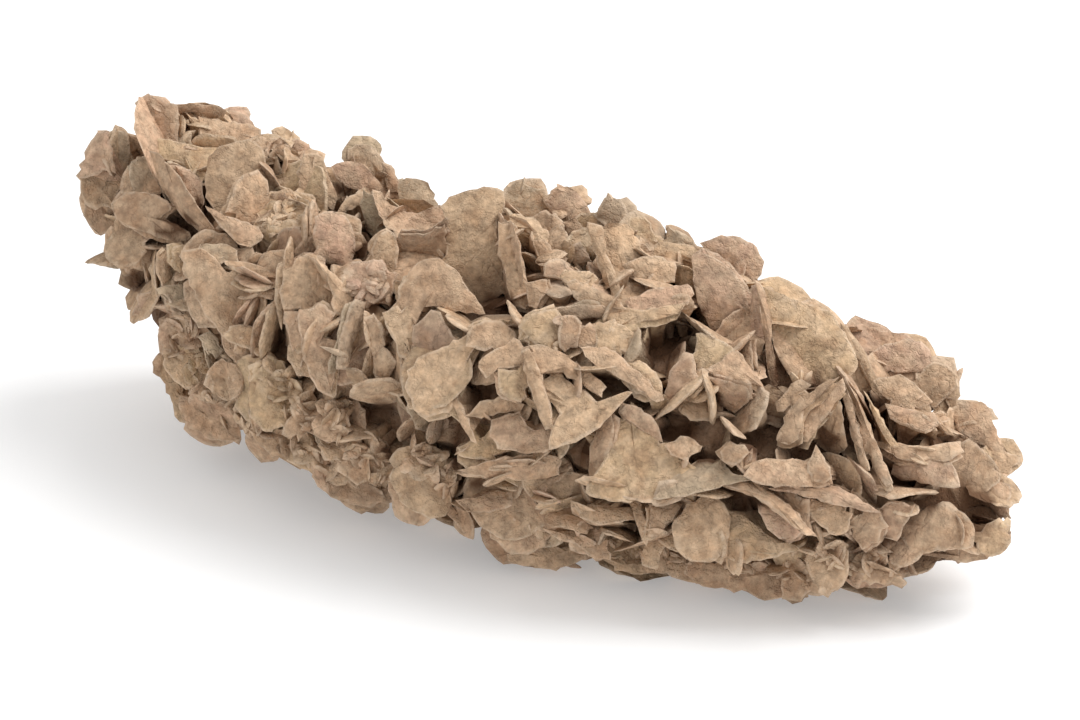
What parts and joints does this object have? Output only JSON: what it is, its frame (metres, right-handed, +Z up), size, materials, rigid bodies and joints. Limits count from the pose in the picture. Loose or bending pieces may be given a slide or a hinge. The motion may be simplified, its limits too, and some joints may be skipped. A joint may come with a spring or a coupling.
{
  "type": "gypsum sand rose",
  "caption": "Long cluster of lens-shaped sandy gypsum blades grown together at all angles, in one solid piece, lying free on small flats under its lowest blades.",
  "frame": {"origin": "middle of the rose's bounding box, on the surface that it rests on", "axes": "+X along the rose towards its low end, +Z up, show side towards -Y"},
  "size_m": [0.5953, 0.2411, 0.2041],
  "materials": {
    "sandy_gypsum": "matt, sandy, slightly rough"
  },
  "bodies": {
    "root": {"sand_rose": "sandy_gypsum"}
  },
  "joints": []
}
